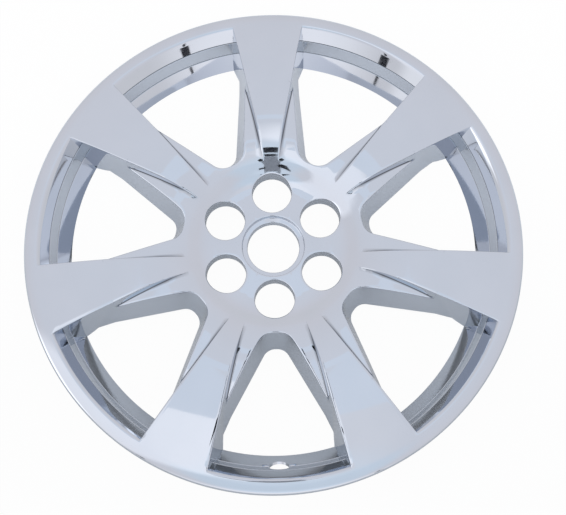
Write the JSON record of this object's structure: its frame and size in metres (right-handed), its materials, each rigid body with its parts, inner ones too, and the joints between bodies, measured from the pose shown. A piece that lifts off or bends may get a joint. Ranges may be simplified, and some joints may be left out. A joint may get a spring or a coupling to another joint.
{
  "type": "hubcap",
  "caption": "Round chrome-plated hubcap moulded as one thin open-backed shell, with broad tapering spokes, deep windows, lug holes and a stepped centre hole.",
  "frame": {"origin": "on the wheel's axis, in the plane of the windows' back edges on which the cover lies", "axes": "+Z along the wheel's axis, out of the visible face; +Y along the spoke that has a lug hole at its foot"},
  "size_m": [0.542, 0.542, 0.0572],
  "materials": {
    "chrome_plate": "bright decorative chrome plated over moulded ABS plastic"
  },
  "bodies": {
    "root": {"hubcap": "chrome_plate"}
  },
  "joints": []
}
